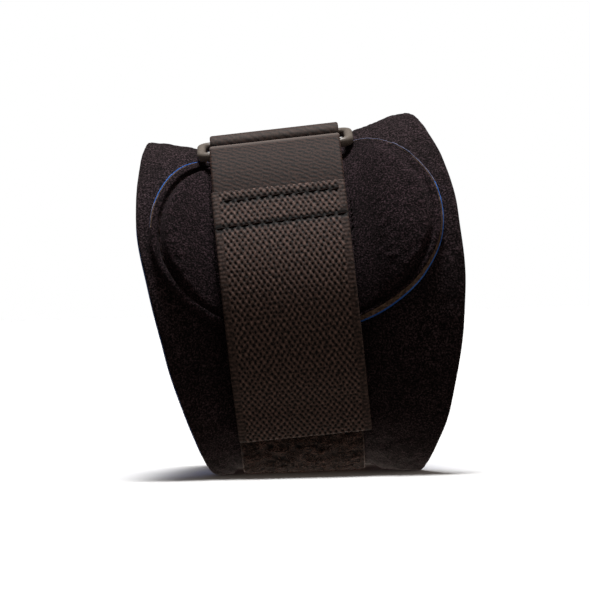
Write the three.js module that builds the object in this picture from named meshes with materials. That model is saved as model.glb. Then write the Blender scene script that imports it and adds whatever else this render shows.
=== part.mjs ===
// Tennis elbow sleeve: a neoprene sleeve for the forearm, with an oval pad sewn on its front and a
// pile strap that runs round it, up through a moulded loop and back down, where a hook tab holds it.
// It lies on the surface z = 0 with the forearm's hollow along X, the pad and the tab facing -Y.
// Millimetres and degrees, +Z up.
import * as THREE from "three";

// Sleeve: laminated neoprene, drawn in at the strap and flared beside it
const WAIST_RADIUS = 47; // outer half height under the strap
const DEPTH_SHARE = 0.94; // front to back, as a share of the height
const TAPER = 0.022; // growth of the radius for each millimetre along the forearm
const WALL = 4.5;
const WALL_PRESSED = 3.6; // under the strap
const WALL_REACH = 8.3; // from the strap's channel to where the wall is full again
const RIM_ROUND = 0.9; // rounding of the cut edge
const FLARE = 6; // how far the free edges stand above the waist
const FLARE_REACH = 25; // from the strap's channel to where the flare ends
const FLARE_POWER = 2.2;
const LOW_BULGE = 0.2; // share by which the flare is fuller under the forearm
const TOP_BULGE = 0.1; // and on top of it
const BULGE_POWER = 4; // the higher, the shorter the stretches that are fuller
const PUFF = 1.2; // swelling of the cloth just beside the strap, on top
const PUFF_AT = 2.5; // where it is highest, from the strap's channel
const SAG_POWER = 2.3; // of the section's lower front quarter, which sags: 2 is an ellipse
// Where the sleeve's two cut edges lie along the forearm, at even steps round it
const SLEEVE_EDGES = [
  { round: 0, left: -38.1, right: 49.3 }, // facing front
  { round: 30, left: -41.5, right: 49.4 },
  { round: 60, left: -39.6, right: 44.3 },
  { round: 90, left: -37.0, right: 38.0 }, // on top
  { round: 120, left: -33.0, right: 34.0 },
  { round: 150, left: -29.5, right: 31.5 },
  { round: 180, left: -27.0, right: 30.0 }, // at the back
  { round: 210, left: -25.0, right: 29.0 },
  { round: 240, left: -23.0, right: 28.0 },
  { round: 270, left: -21.6, right: 28.2 }, // underneath
  { round: 300, left: -27.2, right: 35 },
  { round: 330, left: -32.8, right: 43.9 },
];

// How the sleeve lies: its cone rests on its side, and the cloth flattens there
const AXIS_RISE = 3.8; // slope of the axis
const AXIS_HEIGHT = 47.8; // of the axis over the surface, at the strap
const REST_SOFT = 0.6; // blend from the flat to the round
const ORIGIN_SHIFT = { x: -2.95, y: 2.06 }; // puts the origin under the middle of the box

// Strap, tab and loop
const TAB_WIDTH = 38.1; // one and a half inches, the usual width of such tape
const TAB_THICK = 1.4;
const STRAP_WIDTH = 37.6;
const STRAP_DRAWN_WIDTH = 35.4; // where it is stretched round the forearm
const STRAP_THICK = 1.2;
const STRAP_AT = -0.29; // along the forearm, from the middle of the sleeve's waist
const STRAP_LEAN = -0.0024; // slope of the strap's plane to the sleeve's
const CHANNEL_CLEAR = 1.6; // between the strap's edge and the flare beside it
const GAP = 0.3; // between neighbouring layers
const SEAT_GAP = 0.45; // over the sleeve's curved face
const BAR_GAP = 0.4; // round the loop's bars
const NEAR_BAR_AT = 59.3; // places round the sleeve, 0 facing front and 90 on top
const FAR_BAR_AT = 75.5;
const FAR_LIFT = 0.6; // by which the far bar's fold stands off the sleeve
const FAR_LIFT_REACH = 20; // degrees over which the strap then comes down to the sleeve
const FLAP_END_AT = 120;
const FLAP_DOWN_AT = 94;
const TAB_TOP_AT = 39;
const TAB_STEP_AT = 25.8; // here the tab steps off the strap's end
const TAB_DOWN_AT = -44; // and here it lies on the pile
const STRAP_END_AT = 27.2;
const STRAP_DOWN_AT = 25.2; // the strap's upper layer slopes towards the lower one as far as here
const TAB_END_AT = -44.5;
const TAB_END_SLOPE = 0.04; // degrees for each millimetre across
const TAB_ASIDE = -0.21; // from the strap's centre line, at the tab's top
const TAB_SKEW = 0.0168; // and more for each degree below it
const DRAWN_FROM = 140; // the strap is at its narrowest from here
const DRAWN_TO = 345; // to here
const DRAWN_REACH = 45; // degrees over which it narrows
const LOOP_BAR = 2.6;
const LOOP_THICK = 2.6;
const LOOP_SLOT = 40.2; // clear width for the strap
const LOOP_BEVEL = 0.9;
const LOOP_CORNER = 4.2;
const LOOP_SLOT_CORNER = 0.9;

// Pad: an oval of the same neoprene, domed, sewn down in a groove inside its raised lip
const PAD = { along: 3.1, round: 18.5 }; // its middle
// Reach of its outline from the middle, at even steps round it from its right end upwards
const PAD_REACH = [
  41.3, 42.7, 42, 41.8, 42.3, 41.5, 41.8, 43.1, 44.4, 43.6, 42.7, 42.1,
  40.3, 36.3, 31.9, 28.2, 25.6, 24, 23.3, 23.7, 25, 27.5, 31.4, 36.7,
];
const PAD_PRESSED = 2.4; // under the strap
const PAD_CLEAR = 0.65; // between the pad and the strap that crosses it
const PAD_PRESS_HALF = 24.5; // half width of the stretch that the strap flattens
const PAD_PRESS_REACH = 7; // beside it, to the full dome
const PAD_LIFT_LEAD = 4; // degrees by which the strap's lift passes the pad's lower edge
const PAD_LIFT_REACH = 20; // degrees over which the strap then comes down to the sleeve
const PAD_PROFILE = [
  { out: 1, height: 1.7 }, // out: share of the way from the pad's middle to its edge
  { out: 0.985, height: 2.4 },
  { out: 0.945, height: 2.4 }, // lip
  { out: 0.905, height: 1.2 }, // sewn groove
  { out: 0.86, height: 2.5 },
  { out: 0.78, height: 3.5 },
  { out: 0.69, height: 4.1 },
  { out: 0.6, height: 4.5 },
  { out: 0.5, height: 4.7 },
  { out: 0.35, height: 4.9 }, // crown
  { out: 0.18, height: 5 },
];
const PAD_UNDER = [0.18, 0.35, 0.5, 0.6, 0.7, 0.8, 0.9, 1]; // the same shares, on its underside

// Facets
const ROUND_STEPS = 72;
const EDGE_STEPS = 5;
const CHANNEL_STEPS = 4;
const PAD_STEPS = 60;
const STRAP_STEP = 4; // degrees
const FOLD_STEPS = 10;
const LOOP_BEVEL_STEPS = 2;
const LOOP_CORNER_STEPS = 5;
const TAPE_SHARES = [-1, -0.5, 0, 0.5, 1]; // lines along a tape, as shares of its half width

const rad = THREE.MathUtils.degToRad;
const clamp = THREE.MathUtils.clamp;
const lerp = THREE.MathUtils.lerp;
const smooth = THREE.MathUtils.smoothstep;

// Distance along the forearm of the strap's centre line at an angle round the sleeve.
function strapLine(round) {
  return STRAP_AT - STRAP_LEAN * WAIST_RADIUS * Math.sin(round);
}

// Half the strap's width at an angle round the sleeve.
function strapHalf(round) {
  const degrees = THREE.MathUtils.euclideanModulo(THREE.MathUtils.radToDeg(round), 360);
  const front = (degrees + 180) % 360; // so that the front lies in the middle of the range
  const narrowing = smooth(front, DRAWN_FROM + 180 - DRAWN_REACH, DRAWN_FROM + 180);
  const widening = 1 - smooth(front, DRAWN_TO - 180, DRAWN_TO - 180 + DRAWN_REACH);
  return lerp(STRAP_WIDTH, STRAP_DRAWN_WIDTH, Math.max(narrowing, widening)) / 2;
}

const channelHalf = (round) => strapHalf(round) + CHANNEL_CLEAR;

// Height of the flared edges above the waist.
function flare(along, round) {
  const beside = Math.abs(along - strapLine(round)) - channelHalf(round);
  const share = clamp(beside / FLARE_REACH, 0, 1);
  const bulge = (Math.sin(round) < 0 ? LOW_BULGE : TOP_BULGE) * Math.abs(Math.sin(round)) ** BULGE_POWER;
  const bump = Math.max(0, beside) / PUFF_AT;
  const puff = PUFF * smooth(Math.sin(round), 0.85, 1) * bump * Math.exp(1 - bump);
  return puff + FLARE * (1 + bulge) * (1 - (1 - share) ** FLARE_POWER);
}

// The same height or, where it is higher, that of the surface below, with the strap between.
function rested(along, round, height) {
  const slope = rad(AXIS_RISE);
  const beside = Math.abs(along - strapLine(round)) - strapHalf(round);
  const strap = (STRAP_THICK + SEAT_GAP + GAP) * (1 - smooth(beside, CHANNEL_CLEAR, 2 * CHANNEL_CLEAR));
  const surface = (strap - AXIS_HEIGHT - along * Math.sin(slope)) / Math.cos(slope);
  const above = height - surface;
  if (above > REST_SOFT) return height;
  if (above < -REST_SOFT) return surface;
  return surface + (above + REST_SOFT) ** 2 / (4 * REST_SOFT);
}

// How much wider than an ellipse the section is at an angle round the sleeve.
function sag(round) {
  const front = Math.max(0, Math.cos(round));
  const low = Math.max(0, -Math.sin(round));
  if (front === 0 || low === 0) return 1;
  return (front ** SAG_POWER + low ** SAG_POWER) ** (-1 / SAG_POWER);
}

// A point of the sleeve's outer face.
function skin(along, round) {
  const radius = (WAIST_RADIUS + TAPER * along + flare(along, round)) * sag(round);
  return new THREE.Vector3(
    along,
    -DEPTH_SHARE * radius * Math.cos(round),
    rested(along, round, radius * Math.sin(round)),
  );
}

// Unit vectors at that point: round the sleeve, and out of it.
function skinFrame(along, round) {
  const step = 1e-3;
  const alongStep = skin(along + step, round).sub(skin(along - step, round));
  const tangent = skin(along, round + step).sub(skin(along, round - step));
  return { tangent: tangent.clone().normalize(), normal: alongStep.cross(tangent).normalize() };
}

// A point at some height over the outer face.
function over(along, round, height) {
  return skin(along, round).addScaledVector(skinFrame(along, round).normal, height);
}

// A closed solid from closed loops of points: loop follows loop, and the last meets the first if round.
function solidFromLoops(loops, round) {
  const size = loops[0].length;
  const positions = loops.flat().flatMap((p) => [p.x, p.y, p.z]);
  const faces = [];
  const last = round ? loops.length : loops.length - 1;
  for (let i = 0; i < last; i++) {
    const here = i * size;
    const there = ((i + 1) % loops.length) * size;
    for (let j = 0; j < size; j++) {
      const k = (j + 1) % size;
      faces.push(here + j, there + j, there + k, here + j, there + k, here + k);
    }
  }
  const end = (loops.length - 1) * size;
  for (let a = 0; !round && a < size / 2 - 1; a++) {
    const b = a + 1;
    const c = size - 1 - b;
    const d = size - 1 - a;
    faces.push(a, b, c, a, c, d);
    faces.push(end + a, end + c, end + b, end + a, end + d, end + c);
  }
  const geometry = new THREE.BufferGeometry();
  geometry.setAttribute("position", new THREE.Float32BufferAttribute(positions, 3));
  geometry.setIndex(faces);
  geometry.computeVertexNormals();
  return geometry;
}

// Sleeve

const edgeCurve = new THREE.CatmullRomCurve3(
  SLEEVE_EDGES.map((row) => new THREE.Vector3(row.left, row.right, 0)),
  true,
  "catmullrom",
);

// The sleeve's cut edges and strap channel at an angle round it.
function sleeveStations(round) {
  const turn = round / (2 * Math.PI);
  const edges = edgeCurve.getPoint(turn - Math.floor(turn));
  const middle = strapLine(round);
  const left = edges.x + RIM_ROUND;
  const right = edges.y - RIM_ROUND;
  const stations = [];
  const half = channelHalf(round);
  for (let i = 0; i < EDGE_STEPS; i++) stations.push(lerp(left, middle - half, i / EDGE_STEPS));
  for (let i = 0; i < CHANNEL_STEPS; i++) stations.push(middle + half * lerp(-1, 1, i / CHANNEL_STEPS));
  for (let i = 0; i <= EDGE_STEPS; i++) stations.push(lerp(middle + half, right, i / EDGE_STEPS));
  return { edges, stations, middle };
}

// One closed section of the wall: outer face, right edge, inner face, left edge.
function wallSection(round) {
  const { edges, stations, middle } = sleeveStations(round);
  const wall = (along) => {
    const beside = Math.abs(along - middle) - channelHalf(round);
    return lerp(WALL_PRESSED, WALL, smooth(beside, 0, WALL_REACH));
  };
  const outer = stations.map((along) => skin(along, round));
  const inner = stations.map((along) => over(along, round, -wall(along))).reverse();
  const rim = (along, shares) => shares.map((share) => over(along, round, -WALL * share));
  const roundShare = RIM_ROUND / WALL;
  return [
    ...outer,
    ...rim(edges.y, [roundShare, 1 - roundShare]),
    ...inner,
    ...rim(edges.x, [1 - roundShare, roundShare]),
  ];
}

function sleeveGeometry() {
  const sections = [];
  for (let i = 0; i < ROUND_STEPS; i++) sections.push(wallSection((-2 * Math.PI * i) / ROUND_STEPS));
  return solidFromLoops(sections, true);
}

// Pad

const padCurve = new THREE.CatmullRomCurve3(
  PAD_REACH.map((reach) => new THREE.Vector3(reach, 0, 0)),
  true,
  "catmullrom",
);

// Place on the sleeve of a point of the oval: share of the way out, and angle round the oval.
function padPlace(out, angle) {
  const reach = out * padCurve.getPoint(angle / (2 * Math.PI)).x;
  return {
    along: PAD.along + reach * Math.cos(angle),
    round: rad(PAD.round) + (reach * Math.sin(angle)) / WAIST_RADIUS,
  };
}

function padPoint(out, angle, height) {
  const { along, round } = padPlace(out, angle);
  const beside = Math.abs(along - strapLine(round)) - PAD_PRESS_HALF;
  const room = PAD_PRESSED + (height - PAD_PRESSED) * smooth(beside, 0, PAD_PRESS_REACH);
  return over(along, round, SEAT_GAP + Math.min(height, room));
}

function padGeometry() {
  const angles = Array.from({ length: PAD_STEPS }, (_, i) => (2 * Math.PI * i) / PAD_STEPS);
  const ring = (out, height) => angles.map((angle) => padPoint(out, angle, height));
  const under = PAD_UNDER.map((out) => ring(out, 0));
  const top = PAD_PROFILE.map((row) => ring(row.out, row.height));
  return solidFromLoops([...under, ...top].reverse(), false);
}

// Strap and tab

// How far the pad lifts the strap's lower layer at an angle round the sleeve, in degrees.
function padLift(degrees) {
  const down = THREE.MathUtils.radToDeg(Math.min(...PAD_REACH) / WAIST_RADIUS);
  const lowEdge = PAD.round - down - PAD_LIFT_LEAD;
  return (PAD_PRESSED + PAD_CLEAR) * smooth(degrees, lowEdge - PAD_LIFT_REACH, lowEdge);
}

const FOLD_RADIUS = LOOP_BAR / 2 + BAR_GAP + STRAP_THICK / 2; // of the strap's middle round a bar
const layer = (degrees) => SEAT_GAP + STRAP_THICK / 2 + padLift(degrees);
const farLift = (degrees) => FAR_LIFT * (1 - smooth(degrees, FAR_BAR_AT, FAR_BAR_AT + FAR_LIFT_REACH));
const nearBar = { at: NEAR_BAR_AT, height: layer(NEAR_BAR_AT) + FOLD_RADIUS };
const farBar = { at: FAR_BAR_AT, height: SEAT_GAP + STRAP_THICK / 2 + FAR_LIFT + FOLD_RADIUS };

// Height of the strap's upper layer, from the near bar down to its sewn end.
function upperLayer(degrees) {
  const down = smooth(degrees, STRAP_DOWN_AT, NEAR_BAR_AT);
  return lerp(layer(degrees) + STRAP_THICK + GAP, nearBar.height + FOLD_RADIUS, down);
}

// Height of the end that is folded back over the far bar.
function flapLayer(degrees) {
  const down = smooth(degrees, FAR_BAR_AT, FLAP_DOWN_AT);
  const lying = SEAT_GAP + 1.5 * STRAP_THICK + GAP;
  return lerp(farBar.height + FOLD_RADIUS, lying, down);
}

function tabLayer(degrees) {
  const onStrap = (STRAP_THICK + TAB_THICK) / 2 + GAP;
  const step = smooth(degrees, TAB_DOWN_AT, TAB_STEP_AT);
  const low = layer(degrees);
  const high = upperLayer(Math.max(degrees, STRAP_END_AT));
  return onStrap + lerp(low, high, step);
}

// A point of a tape's middle plane: place round the sleeve, distance across the tape, height.
function tapePoint(degrees, across, height) {
  const round = rad(degrees);
  const flat = channelHalf(round) - 0.05; // a tape stays flat where it overhangs the channel
  const inside = clamp(across, -flat, flat);
  const leaning = (STRAP_LEAN * Math.cos(round) * inside) / WAIST_RADIUS;
  const point = over(strapLine(round) + inside, round + leaning, height);
  return point.setX(point.x + across - inside);
}

// A fold round a bar: the strap's middle, from under the bar to over it, on one side of it.
function foldPoints(bar, across, side) {
  const centre = tapePoint(bar.at, across, bar.height);
  const { tangent, normal } = skinFrame(strapLine(rad(bar.at)) + across, rad(bar.at));
  return Array.from({ length: FOLD_STEPS + 1 }, (_, i) => {
    const angle = lerp(-Math.PI / 2, Math.PI / 2, i / FOLD_STEPS);
    return centre
      .clone()
      .addScaledVector(tangent, side * FOLD_RADIUS * Math.cos(angle))
      .addScaledVector(normal, FOLD_RADIUS * Math.sin(angle));
  });
}

// Points from one place to another round the sleeve, both ends included.
function run(from, to, across, height) {
  const count = Math.ceil(Math.abs(to - from) / STRAP_STEP);
  return Array.from({ length: count + 1 }, (_, i) => {
    const degrees = lerp(from, to, i / count);
    return tapePoint(degrees, across(degrees), height(degrees));
  });
}

// A line along the strap, at a share of its half width: flap, far fold, round, near fold, upper layer.
function lineAlongStrap(share) {
  const half = (share * STRAP_WIDTH) / 2;
  const across = (degrees) => share * strapHalf(rad(degrees));
  const full = () => half;
  const lowerLayer = (degrees) => layer(degrees - 360) + farLift(degrees);
  return [
    ...run(FLAP_END_AT, FAR_BAR_AT, full, flapLayer).slice(0, -1),
    ...foldPoints(farBar, half, -1).reverse(),
    ...run(FAR_BAR_AT, 360 + NEAR_BAR_AT, across, lowerLayer).slice(1, -1),
    ...foldPoints(nearBar, half, 1),
    ...run(NEAR_BAR_AT, STRAP_END_AT, full, upperLayer).slice(1),
  ];
}

function lineAlongTab(share) {
  const half = (share * TAB_WIDTH) / 2;
  const across = (degrees) => half + TAB_ASIDE + TAB_SKEW * (TAB_TOP_AT - degrees);
  const points = run(TAB_TOP_AT, TAB_END_AT, across, tabLayer);
  const end = TAB_END_AT + TAB_END_SLOPE * half;
  points[points.length - 1] = tapePoint(end, across(end), tabLayer(end));
  return points;
}

// A flat tape, from the lines along it.
function tapeGeometry(lineAlong, thick) {
  const lines = TAPE_SHARES.map(lineAlong);
  const [left, right] = [lines.at(0), lines.at(-1)];
  const sections = left.map((point, i) => {
    const before = Math.max(0, i - 1);
    const after = Math.min(left.length - 1, i + 1);
    const across = right[i].clone().sub(point);
    const ahead = left[after].clone().sub(left[before]);
    const half = across.cross(ahead).setLength(thick / 2);
    const upper = lines.map((line) => line[i].clone().add(half)).reverse();
    const lower = lines.map((line) => line[i].clone().sub(half));
    return [...upper, ...lower];
  });
  return solidFromLoops(sections, false);
}

// Loop: a moulded rectangular ring, one bar in each fold of the strap

function roundedRectangle(path, width, height, corner) {
  const x = width / 2 - corner;
  const y = height / 2 - corner;
  path.absarc(x, y, corner, 0, Math.PI / 2);
  path.absarc(-x, y, corner, Math.PI / 2, Math.PI);
  path.absarc(-x, -y, corner, Math.PI, 1.5 * Math.PI);
  path.absarc(x, -y, corner, 1.5 * Math.PI, 2 * Math.PI);
  path.closePath();
  return path;
}

function loopMesh(material) {
  const near = tapePoint(nearBar.at, 0, nearBar.height);
  const far = tapePoint(farBar.at, 0, farBar.height);
  const reach = near.distanceTo(far);
  const outline = roundedRectangle(
    new THREE.Shape(),
    LOOP_SLOT + 2 * LOOP_BAR,
    reach + LOOP_BAR,
    LOOP_CORNER,
  );
  outline.holes.push(
    roundedRectangle(new THREE.Path(), LOOP_SLOT, reach - LOOP_BAR, LOOP_SLOT_CORNER),
  );
  const geometry = new THREE.ExtrudeGeometry(outline, {
    depth: LOOP_THICK - 2 * LOOP_BEVEL,
    bevelThickness: LOOP_BEVEL,
    bevelSize: LOOP_BEVEL,
    bevelOffset: -LOOP_BEVEL,
    bevelSegments: LOOP_BEVEL_STEPS,
    curveSegments: LOOP_CORNER_STEPS,
  });
  geometry.translate(0, 0, LOOP_BEVEL - LOOP_THICK / 2);
  const mesh = new THREE.Mesh(geometry, material);
  const acrossBar = new THREE.Vector3();
  for (const bar of [nearBar, farBar])
    for (const side of [-1, 1])
      acrossBar.addScaledVector(tapePoint(bar.at, (side * STRAP_WIDTH) / 2, bar.height), side);
  acrossBar.normalize();
  const upSlope = far.clone().sub(near);
  upSlope.addScaledVector(acrossBar, -upSlope.dot(acrossBar)).normalize();
  const outward = acrossBar.clone().cross(upSlope);
  mesh.quaternion.setFromRotationMatrix(new THREE.Matrix4().makeBasis(acrossBar, upSlope, outward));
  mesh.position.copy(near).add(far).multiplyScalar(0.5);
  return mesh;
}

// Materials and assembly

const matte = (color, roughness) => new THREE.MeshStandardMaterial({ color, roughness, metalness: 0 });
const neoprene = matte("#1b1718", 0.95);
const padNeoprene = matte("#1d1919", 0.95);
const pileTape = matte("#1a1614", 1);
const hookTape = matte("#2c2725", 0.8);
const acetal = matte("#6e655d", 0.45);

function named(mesh, name) {
  mesh.name = name;
  return mesh;
}

const sleeve = new THREE.Group();
sleeve.add(named(new THREE.Mesh(sleeveGeometry(), neoprene), "sleeve"));
sleeve.add(named(new THREE.Mesh(padGeometry(), padNeoprene), "pad"));
sleeve.add(named(new THREE.Mesh(tapeGeometry(lineAlongStrap, STRAP_THICK), pileTape), "pile_strap"));
sleeve.add(named(new THREE.Mesh(tapeGeometry(lineAlongTab, TAB_THICK), hookTape), "hook_tab"));
sleeve.add(named(loopMesh(acetal), "loop"));
sleeve.rotation.y = -rad(AXIS_RISE);
sleeve.position.set(ORIGIN_SHIFT.x, ORIGIN_SHIFT.y, AXIS_HEIGHT);

const part = new THREE.Group();
part.add(sleeve);

export default part;
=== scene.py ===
# Tennis elbow sleeve: its visible pieces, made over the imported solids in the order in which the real
# one is sewn. Sizes are in millimetres, and a turn is an angle round the forearm: 0 faces the front,
# 90 degrees is on top, 180 is at the back.
import math

import bpy
import numpy as np
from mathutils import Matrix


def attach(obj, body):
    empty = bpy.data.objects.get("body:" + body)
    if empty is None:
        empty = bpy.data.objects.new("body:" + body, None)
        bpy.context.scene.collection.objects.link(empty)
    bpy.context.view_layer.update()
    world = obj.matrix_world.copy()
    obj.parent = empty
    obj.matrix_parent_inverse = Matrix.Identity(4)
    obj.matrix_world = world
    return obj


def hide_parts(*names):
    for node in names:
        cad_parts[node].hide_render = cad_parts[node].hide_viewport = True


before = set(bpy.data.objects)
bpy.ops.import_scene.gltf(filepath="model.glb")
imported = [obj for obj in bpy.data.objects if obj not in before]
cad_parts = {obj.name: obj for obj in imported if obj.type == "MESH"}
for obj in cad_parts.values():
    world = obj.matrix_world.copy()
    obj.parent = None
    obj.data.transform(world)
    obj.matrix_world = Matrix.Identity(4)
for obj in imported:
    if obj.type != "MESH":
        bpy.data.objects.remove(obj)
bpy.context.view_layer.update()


# Sleeve. A flat cut of laminated neoprene, closed into a tube by a zigzag seam at the back: a brushed
# black knit outside, a brown foam core, a blue jersey lining. The strap draws its waist in, both raw
# cut edges flare, and its underside is flattened where it lies.
WAIST_RADIUS = 47.0  # outer half height under the strap
DEPTH_SHARE = 0.94  # front to back, as a share of the height
TAPER = 0.022  # growth of the radius for each millimetre along the forearm
WALL = 4.5
WALL_PRESSED = 3.6  # under the strap
WALL_REACH = 8.3  # distance from the strap over which it thickens again
FLARE, FLARE_REACH, FLARE_POWER = 6.0, 25.0, 2.2  # rise beside the strap, and over what distance
LOW_BULGE, TOP_BULGE, BULGE_POWER = 0.2, 0.1, 4  # where the flare is fuller
PUFF, PUFF_AT = 1.2, 2.5  # swelling of the cloth beside the strap, on top
PUFF_FROM = 0.85  # sine of the turn where it starts
SAG_POWER = 2.3  # how square the lower front is: 2 is round
AXIS_RISE = math.radians(3.8)
AXIS_HEIGHT = 47.8  # of the forearm's axis over the floor
REST_SOFT = 0.6  # rounding of the flattened underside
ORIGIN_SHIFT = (-2.95, 2.06)  # puts the origin under the middle of the part's box
STRAP_AT = -0.29  # its centre line, along the forearm
STRAP_LEAN = -0.0024
STRAP_WIDTH = 37.6
STRAP_DRAWN_WIDTH = 35.4  # behind and underneath, where it is pulled narrower
STRAP_THICK = 1.2
DRAWN_FROM, DRAWN_TO, DRAWN_REACH = 140, 345, 45
CHANNEL_CLEAR = 1.6  # cloth that lies flat on each side of the strap
GAP = 0.3  # between two layers of tape
SEAT_GAP = 0.45  # between the sleeve and what lies on it
# Cut edges along the forearm, at each 30 degrees round it
LEFT_EDGE = np.array([-38.1, -41.5, -39.6, -37, -33, -29.5, -27, -25, -23, -21.6, -27.2, -32.8])
RIGHT_EDGE = np.array([49.3, 49.4, 44.3, 38, 34, 31.5, 30, 29, 28, 28.2, 35, 43.9])
SEAM_AT = math.radians(205)
SEAM_DIP, SEAM_DIP_WIDTH = 0.5, 0.7  # where the thread pulls the joint in
KNIT_FUZZ, KNIT_WAVE = 0.055, 0.12  # standard deviations of the brushed surface
EDGE_WANDER = 0.12  # and of the hand-cut edges
FUZZ_BLUR, KNIT_WAVE_BLUR, EDGE_BLUR = 1, 14, 60  # how far each is smoothed

rng = np.random.default_rng(7)


def smooth(value, low, high):
    """0 below low, 1 above high, an even curve between."""
    share = np.clip((value - low) / (high - low), 0, 1)
    return share * share * (3 - 2 * share)


def fuzz(rows, columns, blur, wrap):
    """Random heights with unit deviation, blurred a few times over neighbouring grid points."""
    heights = rng.standard_normal((rows, columns))
    for _ in range(blur):
        for axis in (0, 1):
            margin = [(1, 1) if a == axis else (0, 0) for a in (0, 1)]
            near = np.pad(heights, margin, "wrap" if wrap else "edge")
            before, after = (near[:-2], near[2:]) if axis == 0 else (near[:, :-2], near[:, 2:])
            heights = 0.5 * heights + 0.25 * (before + after)
    return heights / heights.std()


def strap_line(turn):
    return STRAP_AT - STRAP_LEAN * WAIST_RADIUS * np.sin(turn)


def strap_half(turn):
    front = (np.degrees(turn) + 180) % 360
    narrowing = smooth(front, DRAWN_FROM + 180 - DRAWN_REACH, DRAWN_FROM + 180)
    widening = 1 - smooth(front, DRAWN_TO - 180, DRAWN_TO - 180 + DRAWN_REACH)
    drawn = np.maximum(narrowing, widening)
    return (STRAP_WIDTH + (STRAP_DRAWN_WIDTH - STRAP_WIDTH) * drawn) / 2


def skin(along, turn):
    """Points of the sleeve's outer face, in its own frame."""
    beside = np.abs(along - strap_line(turn)) - strap_half(turn)
    share = np.clip((beside - CHANNEL_CLEAR) / FLARE_REACH, 0, 1)
    bulge = np.where(np.sin(turn) < 0, LOW_BULGE, TOP_BULGE) * np.abs(np.sin(turn)) ** BULGE_POWER
    bump = np.maximum(beside - CHANNEL_CLEAR, 0) / PUFF_AT
    puff = PUFF * smooth(np.sin(turn), PUFF_FROM, 1) * bump * np.exp(1 - bump)
    flare = puff + FLARE * (1 + bulge) * (1 - (1 - share) ** FLARE_POWER)
    front, low = np.maximum(0, np.cos(turn)), np.maximum(0, -np.sin(turn))
    sagging = (front > 0) & (low > 0)
    total = np.where(sagging, front**SAG_POWER + low**SAG_POWER, 1)
    radius = (WAIST_RADIUS + TAPER * along + flare) * total ** (-1 / SAG_POWER)
    height = radius * np.sin(turn)
    strap = (STRAP_THICK + SEAT_GAP + GAP) * (1 - smooth(beside, CHANNEL_CLEAR, 2 * CHANNEL_CLEAR))
    surface = (strap - AXIS_HEIGHT - along * math.sin(AXIS_RISE)) / math.cos(AXIS_RISE)
    above = np.clip(height - surface, -REST_SOFT, REST_SOFT)
    eased = (above + REST_SOFT) ** 2 / (4 * REST_SOFT)
    rested = np.where(height - surface > REST_SOFT, height, surface + eased)
    return np.stack(np.broadcast_arrays(along, -DEPTH_SHARE * radius * np.cos(turn), rested), -1)


def unit(vectors):
    return vectors / np.linalg.norm(vectors, axis=-1, keepdims=True)


def skin_frame(along, turn):
    """Unit vectors round the sleeve and out of it."""
    step = 1e-3
    ahead = skin(along, turn + step) - skin(along, turn - step)
    aside = skin(along + step, turn) - skin(along - step, turn)
    return unit(ahead), unit(np.cross(aside, ahead))


def over(along, turn, height):
    along, turn, height = np.broadcast_arrays(along, turn, height)
    return skin(along, turn) + skin_frame(along, turn)[1] * height[..., None]


def round_table(values, turn):
    """A smooth closed curve through values at even steps round the sleeve."""
    at = (np.degrees(turn) % 360) / 360 * len(values)
    first = np.floor(at).astype(int)
    t = at - first
    a, b, c, d = (values[(first + k) % len(values)] for k in (-1, 0, 1, 2))
    return b + 0.5 * t * (c - a + t * (2 * a - 5 * b + 4 * c - d + t * (3 * b - 3 * c + d - a)))


def placed(points):
    """The sleeve's own frame in millimetres to the shared frame in metres, on or above the floor."""
    x, y, z = np.moveaxis(np.asarray(points, float), -1, 0)
    sine, cosine = math.sin(AXIS_RISE), math.cos(AXIS_RISE)
    raised = np.maximum(x * sine + z * cosine + AXIS_HEIGHT, 0)
    ahead, aside = x * cosine - z * sine + ORIGIN_SHIFT[0], y + ORIGIN_SHIFT[1]
    return np.stack((ahead, aside, raised), -1) / 1000


def grid_faces(rows, columns, wrap_rows, wrap_columns):
    """Quads over a grid of points that are numbered row by row."""
    numbers = np.arange(rows * columns).reshape(rows, columns)
    if wrap_rows:
        numbers = np.vstack([numbers, numbers[:1]])
    if wrap_columns:
        numbers = np.hstack([numbers, numbers[:, :1]])
    corners = (numbers[:-1, :-1], numbers[1:, :-1], numbers[1:, 1:], numbers[:-1, 1:])
    return np.stack([c.ravel() for c in corners], -1)


def piece(name, points, faces, materials, which=None, pattern=None):
    """A smooth mesh object in the shared frame; pattern gives each point its place on the flat tape."""
    mesh = bpy.data.meshes.new(name)
    corners = np.asarray(points, float).reshape(-1, 3).tolist()
    mesh.from_pydata(corners, [], [list(f) for f in faces])
    for material in materials:
        mesh.materials.append(material)
    if which is not None:
        mesh.polygons.foreach_set("material_index", np.asarray(which, np.int32))
    if pattern is not None:
        spots = mesh.attributes.new("tape_mm", "FLOAT_VECTOR", "POINT")
        spots.data.foreach_set("vector", np.asarray(pattern, np.float32).ravel())
    mesh.shade_smooth()
    mesh.update()
    made = bpy.data.objects.new(name, mesh)
    bpy.context.scene.collection.objects.link(made)
    return made


def colour(code):
    """An sRGB hex colour as linear RGBA."""
    parts = [int(code[i : i + 2], 16) / 255 for i in (1, 3, 5)]
    return (*(c / 12.92 if c <= 0.04045 else ((c + 0.055) / 1.055) ** 2.4 for c in parts), 1)


def add(material, kind, inputs=None, **settings):
    """Adds a node; an input is a value, a socket, or a node whose first output it takes."""
    tree = material.node_tree
    made = tree.nodes.new("ShaderNode" + kind)
    for name, value in settings.items():
        setattr(made, name, value)
    for socket, value in (inputs or {}).items():
        if isinstance(value, bpy.types.Node):
            value = value.outputs[0]
        if isinstance(value, bpy.types.NodeSocket):
            tree.links.new(value, made.inputs[socket])
        else:
            made.inputs[socket].default_value = value
    return made


def new_material(name):
    material = bpy.data.materials.new(name)
    material.use_nodes = True
    material.node_tree.nodes.clear()
    return material


FACTOR, FIRST, SECOND, MIXED = 0, 6, 7, 2  # a Mix node's colour sockets


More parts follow.
